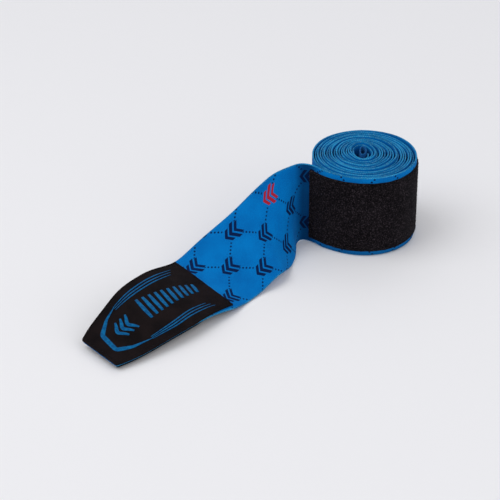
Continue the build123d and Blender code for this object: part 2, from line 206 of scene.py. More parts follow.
def on_strip(along, across, up):
    along, across, up = np.broadcast_arrays(*(np.asarray(a, float) for a in (along, across, up)))
    middle, across_dir, normal, _ = frames(along.ravel())
    points = middle + across_dir * across.ravel()[:, None] + normal * up.ravel()[:, None]
    return points.reshape(along.shape + (3,))


# ------------------------------------------------------------ mesh helpers -
def make_mesh(name, verts, faces, materials, uv=None, face_materials=None):
    mesh = bpy.data.meshes.new(name)
    mesh.from_pydata((np.asarray(verts, float) * MM).tolist(), [], faces)
    for material in materials:
        mesh.materials.append(material)
    if face_materials is not None:
        mesh.polygons.foreach_set("material_index", np.asarray(face_materials, np.int32))
    if uv is not None:
        layer = mesh.uv_layers.new(name="UVMap")
        corners = np.empty(len(mesh.loops), np.int32)
        mesh.loops.foreach_get("vertex_index", corners)
        layer.data.foreach_set("uv", np.asarray(uv, np.float32)[corners].ravel())
    mesh.polygons.foreach_set("use_smooth", np.full(len(mesh.polygons), True))
    mesh.update()
    obj = bpy.data.objects.new(name, mesh)
    bpy.context.scene.collection.objects.link(obj)
    return obj


# Corner orders of a tube's quads. FLIPPED and TURNED face the same way but
# are split along different diagonals.
PLAIN, FLIPPED, TURNED = (0, 1, 2, 3), (3, 2, 1, 0), (0, 3, 2, 1)


def tube_faces(count, sides, order=PLAIN, closed=False):
    """Quads between neighbouring sections, and two caps unless it is closed."""
    i = np.arange(count if closed else count - 1)[:, None]
    j = np.arange(sides)[None, :]
    near, far, next_j = i * sides, (i + 1) % count * sides, (j + 1) % sides
    corners = [near + j, near + next_j, far + next_j, far + j]
    faces = np.stack([corners[k] for k in order], -1).reshape(-1, 4).tolist()
    if not closed:
        first = list(range(sides))
        last = list(range((count - 1) * sides, count * sides))
        faces += [first[::-1], last] if order == PLAIN else [first, last[::-1]]
    return faces


def joined(parts, faces):
    """Vertices and faces of many parts that share one set of faces."""
    size = len(parts[0])
    all_faces = [[i + k * size for i in face] for k in range(len(parts)) for face in faces]
    return np.concatenate(parts), all_faces


def lofted(name, sections, materials, uv=None, side_materials=None, order=PLAIN):
    """Tube through sections (count, sides, 3) with flat, sharp-edged ends."""
    count, sides = sections.shape[:2]
    face_materials = None
    if side_materials is not None:
        face_materials = np.r_[np.tile(side_materials, count - 1), 0, 0]
    obj = make_mesh(name, sections.reshape(-1, 3), tube_faces(count, sides, order), materials,
                    uv, face_materials)
    smooth = np.ones(len(obj.data.polygons), bool)
    smooth[-2:] = False
    obj.data.polygons.foreach_set("use_smooth", smooth)
    cap_edges = set()
    for cap in list(obj.data.polygons)[-2:]:
        cap_edges.update(cap.edge_keys)
    for edge in obj.data.edges:
        if tuple(sorted(edge.vertices)) in cap_edges:
            edge.use_edge_sharp = True
    return obj


def ring(centre, side, other, radius, count):
    """Points of a circle spanned by two directions."""
    angles = (2 * pi * np.arange(count) / count)[:, None]
    return (np.asarray(centre) + np.asarray(side) * radius * np.cos(angles)
            + np.asarray(other) * radius * np.sin(angles))


def set_printed(obj, values):
    """Mark the vertices whose face carries the print."""
    attribute = obj.data.attributes.new("printed", "FLOAT", "POINT")
    attribute.data.foreach_set("value", np.concatenate(values).astype(np.float32))


def attach(obj, part, replaced):
    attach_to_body(obj, part)
    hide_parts(replaced)


STITCH_SIDES = 7


def stitch_shape(length, radius):
    """Stitch along x, half sunk in z = 0, thin at both ends."""
    half = length / 2
    sections = [        # x, radius and height, the last two in radii
        (-half, 0.25, -1.0), (-half + radius * 0.35, 0.75, -0.45), (-half + radius, 1.0, -0.05),
        (0.0, 1.06, 0.12),
        (half - radius, 1.0, -0.05), (half - radius * 0.35, 0.75, -0.45), (half, 0.25, -1.0)]
    points = [ring((x, 0, z * radius), (0, 1, 0), (0, 0, 1), wide * radius, STITCH_SIDES)
              for x, wide, z in sections]
    return np.concatenate(points), tube_faces(len(sections), STITCH_SIDES, TURNED)


def stitches(name, places, length, radius, material):
    """One stitch at each place, given as (point, direction, normal)."""
    shape, faces = stitch_shape(length, radius)
    parts = []
    for point, direction, normal in places:
        direction = unit(np.array(direction, float))
        normal = np.array(normal, float)
        normal = unit(normal - direction * (normal @ direction))
        side = np.cross(normal, direction)
        yaw = radians(float(rng.normal(0, 2.5)))
        stretch = float(rng.uniform(0.94, 1.03))
        parts.append(np.array(point, float)
                     + shape[:, :1] * (direction * cos(yaw) + side * sin(yaw)) * stretch
                     + shape[:, 1:2] * (side * cos(yaw) - direction * sin(yaw))
                     + shape[:, 2:] * normal)
    return make_mesh(name, *joined(parts, faces), [material])


# ------------------------------------------------------------ shader tools -
class Value:
    """An output socket, with Python operators that add math nodes."""

    def __init__(self, shader, socket):
        self.shader, self.socket = shader, socket

    def math(self, operation, *others):
        return self.shader.math(operation, self, *others)

    def __add__(self, other):
        return self.math("ADD", other)

    def __sub__(self, other):
        return self.math("SUBTRACT", other)

    def __rsub__(self, other):
        return self.shader.math("SUBTRACT", other, self)

    def __mul__(self, other):
        return self.math("MULTIPLY", other)

    def __truediv__(self, other):
        return self.math("DIVIDE", other)

    def __pow__(self, other):
        return self.math("POWER", other)

    def __abs__(self):
        return self.math("ABSOLUTE")

    def wave(self, pitch):
        return (self * (2 * pi / pitch)).math("SINE")

    def off_grid(self, step):
        """Signed distance to the nearest multiple of step."""
        count = self / step
        return (count - count.math("ROUND")) * step

    def ramp(self, low, high, at_low=0.0, at_high=1.0):
        """Smooth step from at_low to at_high as this goes from low to high."""
        return self.shader.node(
            "ShaderNodeMapRange", "Result",
            {"Value": self, "From Min": low, "From Max": high, "To Min": at_low,
             "To Max": at_high}, interpolation_type="SMOOTHSTEP")


class Shader:
    """A new material with a Principled surface, and the nodes that feed it."""

    def __init__(self, name):
        self.material = bpy.data.materials.new(name)
        self.material.use_nodes = True
        self.tree = self.material.node_tree
        self.tree.nodes.clear()
        output = self.tree.nodes.new("ShaderNodeOutputMaterial")
        self.surface = self.tree.nodes.new("ShaderNodeBsdfPrincipled")
        self.tree.links.new(self.surface.outputs[0], output.inputs[0])

    def put(self, node, key, value):
        if isinstance(value, Value):
            self.tree.links.new(value.socket, node.inputs[key])
        else:
            node.inputs[key].default_value = value

    def node(self, kind, output, inputs, **settings):
        node = self.tree.nodes.new(kind)
        for key, value in settings.items():
            setattr(node, key, value)
        for key, value in inputs.items():
            self.put(node, key, value)
        return Value(self, node.outputs[output])

    def math(self, operation, *values):
        return self.node("ShaderNodeMath", 0, dict(enumerate(values)), operation=operation)

    def noise(self, vector, scale, detail=2.0, rough=0.5):
        return self.node("ShaderNodeTexNoise", "Fac", {
            "Vector": vector, "Scale": scale, "Detail": detail, "Roughness": rough})

    def mix(self, amount, under, over):
        return self.node("ShaderNodeMix", 2, {0: amount, 6: under, 7: over}, data_type="RGBA")

    def object_coords(self):
        return self.node("ShaderNodeTexCoord", "Object", {})

    def strip_coords(self):
        """UV vector, and its two parts: along and across, in mm."""
        vector = self.node("ShaderNodeUVMap", 0, {}, uv_map="UVMap")
        separate = self.tree.nodes.new("ShaderNodeSeparateXYZ")
        self.put(separate, 0, vector)
        return vector, Value(self, separate.outputs[0]), Value(self, separate.outputs[1])

    def finish(self, colour, roughness, specular):
        self.put(self.surface, "Base Color", colour)
        self.put(self.surface, "Roughness", roughness)
        self.put(self.surface, "Specular IOR Level", specular)

    def fabric(self, colour, roughness, specular, sheen, tint=(1, 1, 1, 1)):
        self.finish(colour, roughness, specular)
        self.put(self.surface, "Sheen Weight", sheen)
        self.put(self.surface, "Sheen Roughness", 0.5)
        self.put(self.surface, "Sheen Tint", tint)

    def bump(self, height, strength, distance):
        normal = self.node("ShaderNodeBump", 0, {
            "Strength": strength, "Distance": distance, "Height": height})
        self.put(self.surface, "Normal", normal)


def srgb(*channels):
    """sRGB 0-255 to linear, with full alpha."""
    linear = []
    for x in channels:
        x /= 255.0
        linear.append(x / 12.92 if x <= 0.04045 else ((x + 0.055) / 1.055)**2.4)
    return (*linear, 1.0)


# ------------------------------------------------------------ materials ----
BLUE = srgb(0, 122, 199)
BLUE_DARK = srgb(0, 101, 176)
NAVY = srgb(6, 24, 66)
RED = srgb(168, 32, 42)

# Printed lattice. Its crossings lie where row + column and row - column are
# both odd; a row is counted along the strip and a column across it.
ROW_PITCH, COLUMN_PITCH = 15.9, 15.0
ROW_START, COLUMN_START = -6.0, -1.2
COLUMN_DRIFT = -0.035             # sideways shift of the print per mm along
COIL_SHIFT = 1.1                  # sideways shift of the print on the coil
DOT_SCALE = 15.4 / sqrt(2.0)      # mm per lattice unit, for the dots
DOT_STEP, DOT_PHASE = 0.2, 0.0    # lattice units
DOT_IN, DOT_OUT = 0.46, 0.72      # the dot's soft edge
MARK_SLANT = 0.75
MARK_CHEVRONS = (                 # place, half thickness, half width
    (4.9, 1.10, 4.1), (1.5, 1.25, 5.5), (-2.1, 1.05, 4.2))
RED_ROW, RED_COLUMN, RED_REACH = -4.0, 1.0, 0.48


def print_ink(shader, along, across):
    """Dotted diagonals with a chevron mark at every crossing.

    Gives the whole ink, the marks alone, and the one cell printed in red.
    """
    from_start = along - ROW_START
    row = from_start / ROW_PITCH
    free = along.ramp(low=-114.0, high=-101.0)
    shift = from_start * COLUMN_DRIFT * free + (1.0 - free) * COIL_SHIFT
    column = (across - COLUMN_START - shift) / COLUMN_PITCH
    rising, falling = row + column, row - column
    # distance of each diagonal from its nearest odd number
    rising = (rising - 1.0).off_grid(2.0)
    falling = (falling - 1.0).off_grid(2.0)

    def dots(off_line, on_line):
        off_dot = (on_line + DOT_PHASE).off_grid(DOT_STEP)
        squares = abs(off_line * DOT_SCALE)**2.0 + abs(off_dot * DOT_SCALE)**2.0
        return squares.math("SQRT").ramp(low=DOT_IN, high=DOT_OUT, at_low=1.0, at_high=0.0)

    dot = dots(rising, falling).math("MAXIMUM", dots(falling, rising))
    # place round the nearest crossing, in mm
    near_along = (rising + falling) * (ROW_PITCH / 2)
    near_across = (rising - falling) * (COLUMN_PITCH / 2)
    # the dots stop short of a crossing
    distance = (near_along * near_along + near_across * near_across).math("SQRT")
    dot = dot * distance.ramp(low=6.0, high=6.6)
    # nested chevrons, each cut off at its own width
    sideways = abs(near_across)
    slanted = near_along + sideways * MARK_SLANT
    mark = None
    for place, thick, wide in MARK_CHEVRONS:
        outside = abs(slanted - place) - thick
        chevron = (outside.ramp(low=-0.12, high=0.12, at_low=1.0, at_high=0.0)
                   * sideways.ramp(low=wide - 0.25, high=wide + 0.1, at_low=1.0, at_high=0.0))
        mark = chevron if mark is None else mark.math("MAXIMUM", chevron)
    ink = dot.math("MAXIMUM", mark)
    off_row = abs(row - RED_ROW)
    off_column = abs(column - RED_COLUMN)
    red_cell = (off_row.math("LESS_THAN", RED_REACH) * off_column.math("LESS_THAN", RED_REACH))
    return ink, mark, red_cell


def strip_material():
    """Woven strip with a fine rib along its length and the printed lattice."""
    shader = Shader("strip_weave_print")
    vector, along, across = shader.strip_coords()
    ink, mark, red_cell = print_ink(shader, along, across)
    # print only where the mesh is marked for it, a little unevenly
    ink = ink * shader.node("ShaderNodeAttribute", "Fac", {}, attribute_name="printed")
    wear = shader.noise(vector, scale=0.9, detail=3.0)
    ink = ink * wear.ramp(low=0.25, high=0.45, at_low=0.86, at_high=0.98)
    warp = across.wave(pitch=0.85)
    weft = along.wave(pitch=1.10)
    rib_share = {"weave": 0.5, "warp": 0.25}
    rib = warp * weft * rib_share["weave"] + warp * rib_share["warp"]
    slow = shader.noise(vector, scale=0.06, detail=3.0)
    fine = shader.noise(vector, scale=1.6)
    shade = slow * 0.5 + fine * 0.5     # equal parts
    base = shader.mix(shade.ramp(low=0.36, high=0.64), BLUE_DARK, BLUE)
    base = shader.mix(rib.ramp(low=-0.7, high=0.7, at_low=0.16, at_high=0.0), base, NAVY)
    ink_colour = shader.mix(red_cell * mark, NAVY, RED)
    colour = shader.mix(ink, base, ink_colour)
    # painted shade: the valley beside the coil is darkened where the coil shades it
    crease_shade_strength, foot_shade_strength = 0.72, 0.5
    crease_shade = (along.ramp(low=-110.0, high=-101.5)
              * along.ramp(low=-98.5, high=-90.5, at_low=1.0, at_high=0.0))
    colour = shader.mix(crease_shade * crease_shade_strength, colour, srgb(2, 20, 52))
    # painted shade: the coil's foot below the loop patch is darkened where the patch shades it
    foot_shade = (along.ramp(low=-114.0, high=-104.0, at_low=1.0, at_high=0.0)
            * across.ramp(low=-25.0, high=-20.5, at_low=1.0, at_high=0.0))
    colour = shader.mix(foot_shade * foot_shade_strength, colour, srgb(26, 52, 78))
    shader.fabric(colour, roughness=0.86, specular=0.04, sheen=0.03, tint=(0.4, 0.75, 1, 1))
    relief = {"rib": 0.5, "fine": 0.4}
    shader.bump(rib * relief["rib"] + fine * relief["fine"], strength=0.35, distance=0.00022)
    return shader.material


def edge_material():
    """The strip's selvedge, seen on end in the coil: looped weft ends."""
    shader = Shader("strip_selvedge")
    vector, along, _ = shader.strip_coords()
    loops = along.wave(pitch=1.25)
    slow = shader.noise(vector, scale=0.045, detail=3.0, rough=0.6)
    fine = shader.noise(vector, scale=0.9, detail=3.0, rough=0.6)
    base = shader.mix(slow.ramp(low=0.35, high=0.66), srgb(15, 104, 156), srgb(34, 150, 206))
    base = shader.mix(fine.ramp(low=0.42, high=0.74, at_high=0.38), base, srgb(116, 184, 216))
    base = shader.mix(loops.ramp(low=-0.6, high=0.9, at_low=0.28, at_high=0.0),
                      base, srgb(2, 38, 82))
    shader.fabric(base, roughness=0.92, specular=0.04, sheen=0.05, tint=(0.5, 0.8, 1, 1))
    loop_relief = 0.5
    shader.bump(loops * loop_relief + fine, strength=0.6, distance=0.0003)
    return shader.material


def velour_material(name, dark, light, scale):
    shader = Shader(name)
    vector = shader.object_coords()
    pile = shader.noise(vector, scale, detail=4.0, rough=0.75)
    patchy = shader.noise(vector, scale=55.0, detail=3.0, rough=0.6)
    share = {"pile": 0.65, "patchy": 0.35}
    shade = pile * share["pile"] + patchy * share["patchy"]
    speck = shader.noise(vector, scale=1350.0)
    colour = shader.mix(shade.ramp(low=0.38, high=0.66), dark, light)
    colour = shader.mix(speck.ramp(low=0.48, high=0.70, at_high=0.75), colour, srgb(62, 55, 60))
    shader.fabric(colour, roughness=0.95, specular=0.03, sheen=0.02, tint=(0.9, 0.9, 1, 1))
    cell_size, cell_relief = 1.3, 0.6       # against the pile's
    cells = shader.node("ShaderNodeTexVoronoi", "Distance",
                        {"Vector": vector, "Scale": scale * cell_size})
    shader.bump(pile + cells * cell_relief, strength=0.8, distance=0.0004)
    return shader.material


def cover_material():
    """Black coated cloth of the tab's cover."""
    shader = Shader("tab_cover_coated")
    vector, along, across = shader.strip_coords()
    weave = across.wave(pitch=0.55) * along.wave(pitch=0.55)
    slow = shader.noise(vector, scale=0.07, detail=3.0)
    fine = shader.noise(vector, scale=1.4, detail=3.0)
    base = shader.mix(slow.ramp(low=0.35, high=0.65), srgb(13, 9, 11), srgb(24, 17, 18))
    base = shader.mix(fine.ramp(low=0.45, high=0.75, at_high=0.4), base, srgb(34, 26, 27))
    roughness = fine.ramp(low=0.3, high=0.7, at_low=0.66, at_high=0.84)
    shader.finish(base, roughness, specular=0.05)
    relief = {"weave": 0.4, "fine": 0.5}
    shader.bump(weave * relief["weave"] + fine * relief["fine"], strength=0.35, distance=0.0002)
    return shader.material


def plain_material(name, dark, light, roughness, specular, scale, strength=0.3, distance=0.0002):
    shader = Shader(name)
    grain = shader.noise(shader.object_coords(), scale, detail=3.0, rough=0.6)
    colour = shader.mix(grain.ramp(low=0.35, high=0.65), dark, light)
    spread = 0.07
    uneven = grain.ramp(low=0.3, high=0.7, at_low=roughness - spread, at_high=roughness + spread)
    shader.finish(colour, uneven, specular)
    shader.bump(grain, strength, distance)
    return shader.material


def thread_material(name, dark, light):
    """Twisted thread: slanting plies."""
    shader = Shader(name)
    plies = shader.node("ShaderNodeTexWave", "Fac",
                        {"Vector": shader.object_coords(), "Scale": 900.0, "Distortion": 0.8},
                        wave_type="BANDS", bands_direction="DIAGONAL")
    shader.fabric(shader.mix(plies, dark, light), roughness=0.8, specular=0.08, sheen=0.02)
    shader.bump(plies, strength=0.5, distance=0.0001)
    return shader.material


def tape_material():
    """Thumb loop tape: a herringbone that points along it."""
    shader = Shader("thumb_loop_tape")
    vector, along, across = shader.strip_coords()
    slant = 0.8
    herringbone = (along + abs(across) * slant).wave(pitch=1.1)
    fine = shader.noise(vector, scale=1.2)
    base = shader.mix(herringbone.ramp(low=-0.8, high=0.8), srgb(8, 62, 118), srgb(22, 96, 158))
    base = shader.mix(fine.ramp(low=0.4, high=0.7, at_high=0.3), base, srgb(52, 124, 178))
    shader.fabric(base, roughness=0.9, specular=0.05, sheen=0.03)
    shader.bump(herringbone + fine, strength=0.5, distance=0.0002)
    return shader.material


M_STRIP = strip_material()
M_EDGE = edge_material()
M_VELOUR = velour_material("loop_velour", srgb(6, 5, 7), srgb(24, 21, 24), scale=900.0)
M_PILE = velour_material("loop_pile", srgb(8, 7, 9), srgb(28, 25, 28), scale=1500.0)
M_COVER = cover_material()
M_HOOK = plain_material("hook_tape", srgb(7, 7, 8), srgb(18, 18, 20),
                        roughness=0.7, specular=0.12, scale=600.0)
M_HOOKS = plain_material("hook_plastic", srgb(12, 12, 13), srgb(26, 26, 28),
                         roughness=0.5, specular=0.2, scale=900.0)
M_THREAD = thread_material("black_thread", srgb(6, 6, 8), srgb(22, 21, 24))
M_BLUE_THREAD = thread_material("blue_thread", srgb(6, 60, 120), srgb(40, 130, 200))
M_FILM = plain_material("transfer_film", srgb(0, 74, 124), srgb(5, 100, 152), roughness=0.5,
                        specular=0.06, scale=700.0, strength=0.15, distance=0.0001)
M_TAPE = tape_material()


# ------------------------------------------------------------ strip pieces -
def side_materials(face_points, round_points):
    """Material of each side of a thin section: 0 on faces, 1 on round edges."""
    return np.tile(np.r_[np.zeros(face_points - 1), np.ones(round_points + 1)], 2).astype(int)


def thin_section(low, high, under, over, face_points, round_points):
    """Across and up round a thin section with rounded edges, top face first."""
    radius, centre = (over - under) / 2, (over + under) / 2
    face = low + radius + (high - low - 2 * radius) * np.linspace(0, 1, face_points)
    high_turn = np.linspace(pi / 2, -pi / 2, round_points + 2)[1:-1]
    low_turn = np.linspace(-pi / 2, -3 * pi / 2, round_points + 2)[1:-1]
    across = np.r_[face, high - radius + radius * np.cos(high_turn),
                   face[::-1], low + radius + radius * np.cos(low_turn)]
    up = np.r_[np.full(face_points, over), centre + radius * np.sin(high_turn),
               np.full(face_points, under), centre + radius * np.sin(low_turn)]
    return across, up


def ribbon(name, places, low, high, under, over, face_points, materials,
           round_points=4, lift=None, cloth=False):
    """Thin piece along the strip between the half widths low and high."""
    sections, uvs, printed = [], [], []
    for along in places:
        across, up = thin_section(-low(along), high(along), under, over,
                                  face_points, round_points)
        on_top = np.arange(len(up)) < face_points
        if lift is not None:
            up = up + lift(along, across) * on_top
        sections.append(on_strip(along, across, up))
        uvs.append(np.c_[np.full(len(up), along), across])
        printed.append(on_top)
    sides = side_materials(face_points, round_points) if cloth else None
    obj = lofted(name, np.array(sections), materials, np.concatenate(uvs), sides)
    if cloth:
        set_printed(obj, printed)
    return obj


TAB_SPLINE = Spline(np.array([row[0] for row in TAB_OUTLINE]),
                    np.array([row[1:] for row in TAB_OUTLINE]))
TIP_CORNER_R = 1.6


def tab_outline(along):
    """Half widths of the tab, with its two tip corners eased."""
    along = max(float(along), 0.0)
    halves = TAB_SPLINE.at(along)[0]
    inside = TIP_CORNER_R - (TAB_L - along)
    if inside > 0:
        halves = halves - (TIP_CORNER_R - sqrt(max(TIP_CORNER_R**2 - inside**2, 0.0)))
    return halves


def cover_high(along):
    return float(tab_outline(along)[0])


def cover_low(along):
    return float(tab_outline(along)[1]) - 2.2 * max(0.0, 1.0 - max(along, 0.0) / 34.0)


def cloth_high(along):
    """Full strip width that eases to just inside the cover."""
    full = STRIP_W / 2
    return full + (cover_high(along) - 0.45 - full) * float(ease((along + 2.0) / 8.0))


def cloth_low(along):
    return float(tab_outline(along)[1]) - 0.55 * min(max(along / 30.0, 0.0), 1.0)


def strip_half(along):
    return STRIP_W / 2


def cloth_ribbon(name, places, low=strip_half, high=strip_half):
    return ribbon(name, places, low, high, -CLOTH_HALF_T, CLOTH_HALF_T, 41,
                  [M_STRIP, M_EDGE], cloth=True)


def bend(obj, part, next_part, along, before, after):
    """Bake the cloth's transform into its mesh; the points either side of the bend are worked out
    but not used.
    """
    middle, _, _, run_dir = frame_at(along)
    ((middle - run_dir * before) * MM).tolist()
    ((middle + run_dir * after) * MM).tolist()
    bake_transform(obj)


tail = cloth_ribbon("strip_tail_cloth", stations(CUT_A, CUT_B, 0.8))
tail_end = cloth_ribbon("strip_mid_cloth", stations(CUT_B, CUT_C, 0.8))
tab_cloth = cloth_ribbon(
    "strip_end_cloth",
    graded_stations((CUT_C, -8.0, 0.8), (-8.0, 2.0, 0.35), (2.0, TAB_L - 0.5, 0.9)),
    cloth_low, cloth_high)
bend(tail, "roll", "tail", CREASE_S, before=3.6, after=3.2)
bend(tail_end, "tail", "tail_end", FLEX_S, before=11, after=11)
bend(tab_cloth, "tail_end", "tab", FOLD_S, before=4.2, after=2.4)
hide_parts("strip_tail")
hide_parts("strip_tail_end")
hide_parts("strip_tab")

# ------------------------------------------------------------ the coil -----
CORE_HALF_X, CORE_HALF_Y, CORE_TILT = 4.9, 8.4, radians(6.0)
CORE_X, CORE_Y = -1.0, 5.2        # the core sits a little behind the middle
COIL_STEP = radians(4.0)
LOOSE_SIDE = radians(103)         # away from this bearing the turns are even
STAND_OFF_SIDE = radians(24)
# Unevenness of the turns: size, waves per turn, change with radius, phase.
COIL_WOBBLE = ((0.26, 2, 0.38, 0.7), (0.17, 3, -0.45, 2.1), (0.10, 5, 0.5, 0.0))
COIL_LEVELS = np.array([0.0, 0.035, 0.25, 0.5, 0.75, 0.965, 1.0])     # shares of the height
COIL_ROUND = 4                    # points round each edge
PRINTED_TURN = 6.4                # radians: just over the outermost turn


def core_r(bearing):
    angle = bearing - CORE_TILT
    return CORE_HALF_X * CORE_HALF_Y / np.sqrt((CORE_HALF_Y * np.cos(angle))**2
                                               + (CORE_HALF_X * np.sin(angle))**2)


def turn_share(turning):
    """0 on the outer half turn, 1 at the core."""
    return np.clip((turning - pi) / (2 * pi * TURNS - pi), 0, 1)


def coil_r(turning):
    bearing = LEAVE + turning
    share = turn_share(turning)
    radius = COIL_OUT_R + (core_r(bearing) - COIL_OUT_R) * share
    swing = np.cos(bearing - LOOSE_SIDE)
    wobble = sum(size * np.sin(count * bearing + drift * radius + phase)
                 for size, count, drift, phase in COIL_WOBBLE)
    wobble = wobble * np.clip(share * 6, 0, 1) * np.clip((1 - share) * 5, 0, 1)
    # turns bunch together in groups
    group = (0.24 * np.tanh(2.8 * np.sin(turning * 0.37 + 0.6))
             + ripple(turning, (0.06, 0.5, 0.6)))
    group = group * np.clip(share * 12, 0, 1) * np.clip((1 - share) * 8, 0, 1)
    # the outermost turn stands off the next one at the right
    gap = (0.62 * np.clip(np.cos(bearing - STAND_OFF_SIDE), 0, 1)**3
           * np.clip((turning - 1.9 * pi) / (0.35 * pi), 0, 1)
           * np.exp(-np.clip(turning - 2.2 * pi, 0, None) / (5 * pi)))
    return radius + wobble * (0.62 - 0.38 * swing) + group * (0.65 - 0.35 * swing) - gap


def settle(x, y, weight):
    """The hand-rolled coil is not quite round."""
    return (x - 0.015 * (x + 31.0) * weight,
            y + 0.8 * (np.clip(y + 31.0, 0, 62) / 62.0)**2 * weight)


def settle_share(turning):
    """Eases the settling in over the first 70 degrees."""
    return ease(turning / radians(70))


def coil_path():
    """Centreline from the free strip inwards, outward normals, and turning."""
    free = frames(stations(CUT_A, LIE_START, 1.2)[:-1])[0][:, :2]
    turning = np.arange(0, 2 * pi * TURNS, COIL_STEP)
    bearing, radius, share = LEAVE + turning, coil_r(turning), turn_share(turning)
    turns = settle(radius * np.cos(bearing) + CORE_X * share,
                   radius * np.sin(bearing) + CORE_Y * share, settle_share(turning))
    # the inner end hugs the core's wall and stops
    sweep = np.radians(np.arange(4, 120, 4.0))
    share = sweep / radians(118)
    bearing = LEAVE + turning[-1] + sweep
    radius = core_r(bearing) - 1.05 * ease(share * 2.2) - 0.5 * share
    inner = settle(radius * np.cos(bearing) + CORE_X, radius * np.sin(bearing) + CORE_Y, 1.0)
    points = np.concatenate([free, np.stack(turns, 1), np.stack(inner, 1)])
    # smooth the last stretch twice
    start = len(points) - 36
    for _ in range(2):
        points[start:-1] = (points[start - 1:-2] + 2 * points[start:-1] + points[start + 1:]) / 4
    direction = unit(np.gradient(points, axis=0))
    turn = np.zeros(len(points))
    turn[len(free):] = np.arange(len(points) - len(free)) * COIL_STEP
    return points, np.stack([direction[:, 1], -direction[:, 0]], 1), turn


def coil_section(point, outward, bottom, top, radius):
    """Upright section of the cloth, outer face first."""
    heights = bottom + radius + (top - bottom - 2 * radius) * COIL_LEVELS
    over = np.linspace(0, pi, COIL_ROUND + 2)[1:-1]
    below = np.linspace(pi, 2 * pi, COIL_ROUND + 2)[1:-1]
    offset = np.r_[np.full(len(heights), radius), radius * np.cos(over),
                   np.full(len(heights), -radius), radius * np.cos(below)]
    z = np.r_[heights, top - radius + radius * np.sin(over),
              heights[::-1], bottom + radius + radius * np.sin(below)]
    return np.c_[point + outward * offset[:, None], z]


def coil_mesh():
    points, normals, turn = coil_path()
    lengths = run_lengths(points)
    # the turns stand at slightly different heights, and the core dips
    ramp_in = np.clip(turn / radians(50), 0, 1)
    core_dip = 1.6 * np.clip((turn - 2 * pi * (TURNS - 0.2)) / (2 * pi * 0.4), 0, 1)
    top = STRIP_W - core_dip + ramp_in * (-0.66 + ripple(
        turn, (0.55, 0.37, 1.0), (0.22, 0.5, 0.4), (0.09, 3.1, 0.0), (0.05, 7.3, 1.0)))
    bottom = ramp_in * (0.10 + ripple(turn, (0.06, 0.43, 0.0), (0.04, 2.7, 0.0)))
    radius = CLOTH_HALF_T - 0.045 * np.clip((turn - 0.5) / 3.0, 0, 1)
    sections, uvs, printed = [], [], []
    for i, point in enumerate(points):
        section = coil_section(point, normals[i], bottom[i], top[i], radius[i])
        sections.append(section)
        uvs.append(np.c_[np.full(len(section), CUT_A - lengths[i]), section[:, 2] - STRIP_W / 2])
        printed.append((np.arange(len(section)) < len(COIL_LEVELS)) * (turn[i] < PRINTED_TURN))
    obj = lofted("strip_coil_cloth", np.array(sections), [M_STRIP, M_EDGE], np.concatenate(uvs),
                 side_materials(len(COIL_LEVELS), COIL_ROUND), FLIPPED)
    set_printed(obj, printed)
    return obj


attach(coil_mesh(), "roll", "strip_coil")

# ------------------------------------------------------------ loop patch ---
PATCH_POINTS = 56                 # up each face
PATCH_ROW_INSET, PATCH_END_INSET = 1.5, 1.6       # stitch rows from the edges


def patch_path():
    """Plan of the patch's line on the strip, and its outward normals."""
    middle, _, normal, _ = frames(stations(PATCH_START, LIE_START, 0.9)[:-1])
    bearing = np.radians(np.arange(LEAVE_DEG, PATCH_END_DEG, 1.7))
    outward = np.stack([np.cos(bearing), np.sin(bearing)], 1)
    x, y = settle(outward[:, 0] * COIL_OUT_R, outward[:, 1] * COIL_OUT_R,
                  settle_share(bearing - LEAVE))
    return (np.r_[middle[:, :2], np.stack([x, y], 1)], unit(np.r_[normal[:, :2], outward]))


PATCH_PATH, PATCH_NORMALS = patch_path()
PATCH_FACE = PATCH_PATH + PATCH_NORMALS * PATCH_OVER
PATCH_RUN = run_lengths(PATCH_FACE)
PATCH_L = PATCH_RUN[-1]


def patch_mesh():
    """Velour pad, sunk along its stitch rows and a little rough."""
    sections = []
    for point, normal, run in zip(PATCH_PATH, PATCH_NORMALS, PATCH_RUN):
        low = PATCH_LOW + ripple(run, (0.10, 0.21, 0.0), (0.06, 0.83, 1.0))
        high = PATCH_HIGH + ripple(run, (0.10, 0.17, 2.0), (0.06, 0.71, 0.0))
        z = low + (high - low) * np.linspace(0, 1, PATCH_POINTS)
        edge = np.minimum(z - low, high - z)
        end = min(run, PATCH_L - run)
        face = PATCH_UNDER + (PATCH_OVER - PATCH_UNDER) * np.clip(edge / 0.5, 0.15, 1)**0.5
        face = face - groove(edge - PATCH_ROW_INSET, depth=0.16, width=0.45)
        face = face - groove(end - PATCH_END_INSET, depth=0.16, width=0.5)
        face = face - groove(end, depth=0.35, width=0.35)
        face = face + rng.normal(0, 0.03, PATCH_POINTS)
        out = np.r_[face, np.full(PATCH_POINTS, PATCH_UNDER)][:, None]
        sections.append(np.c_[point + normal * out, np.r_[z, z[::-1]]])
    return lofted("loop_patch_velour", np.array(sections), [M_VELOUR], order=FLIPPED)


def patch_at(run, z, out):
    """Point on the patch's face, and its outward normal."""
    point = np.array([np.interp(run, PATCH_RUN, PATCH_FACE[:, k]) for k in (0, 1)])
    normal = unit(np.array([np.interp(run, PATCH_RUN, PATCH_NORMALS[:, k]) for k in (0, 1)]))
    return np.array([*(point + normal * out), z]), np.array([*normal, 0.0])


